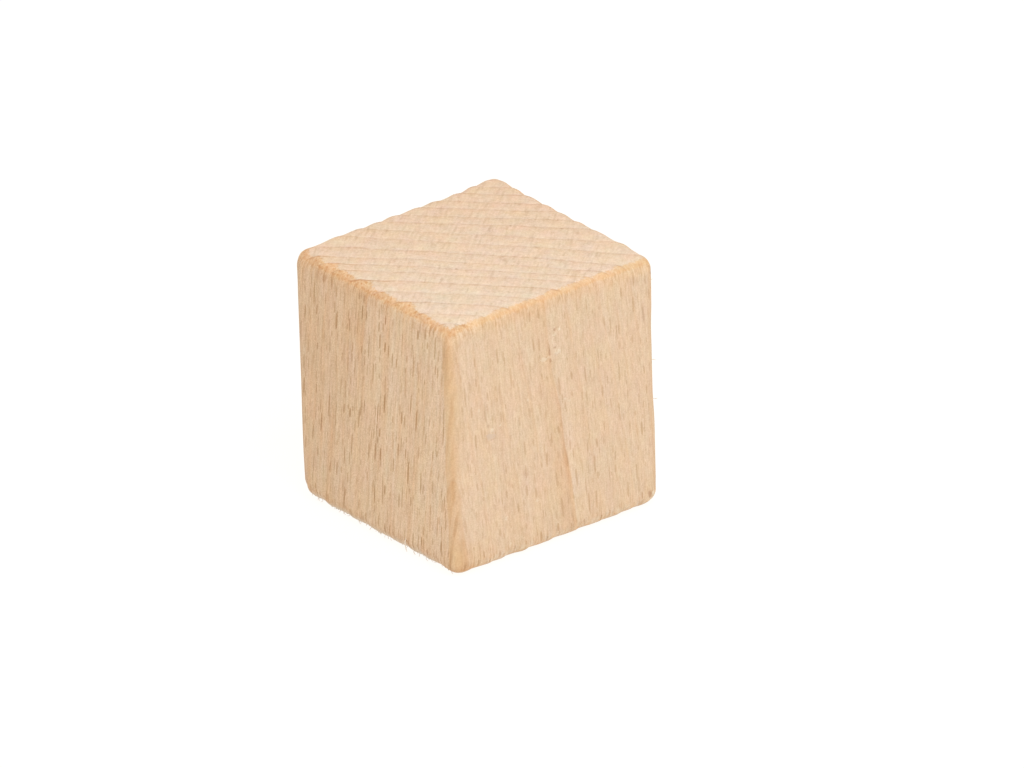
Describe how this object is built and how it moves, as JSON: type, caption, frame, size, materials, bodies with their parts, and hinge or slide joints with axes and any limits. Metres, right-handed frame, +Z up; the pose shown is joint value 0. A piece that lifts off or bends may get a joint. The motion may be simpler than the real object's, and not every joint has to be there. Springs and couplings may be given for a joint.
{
  "type": "wooden cube",
  "caption": "Small solid beech cube with upright grain, end grain on top and bottom, and tumbled, rounded edges and corners.",
  "frame": {"origin": "middle of the end-grain face that the block stands on", "axes": "+Z up along the grain, which is the longest way; +X across the narrower pair of long-grain sides, +Y across the wider pair"},
  "size_m": [0.0292, 0.0298, 0.0312],
  "materials": {
    "timber": "bare, unvarnished beech, sawn, sanded and tumbled smooth, matt"
  },
  "bodies": {
    "root": {"block": "timber"}
  },
  "joints": []
}
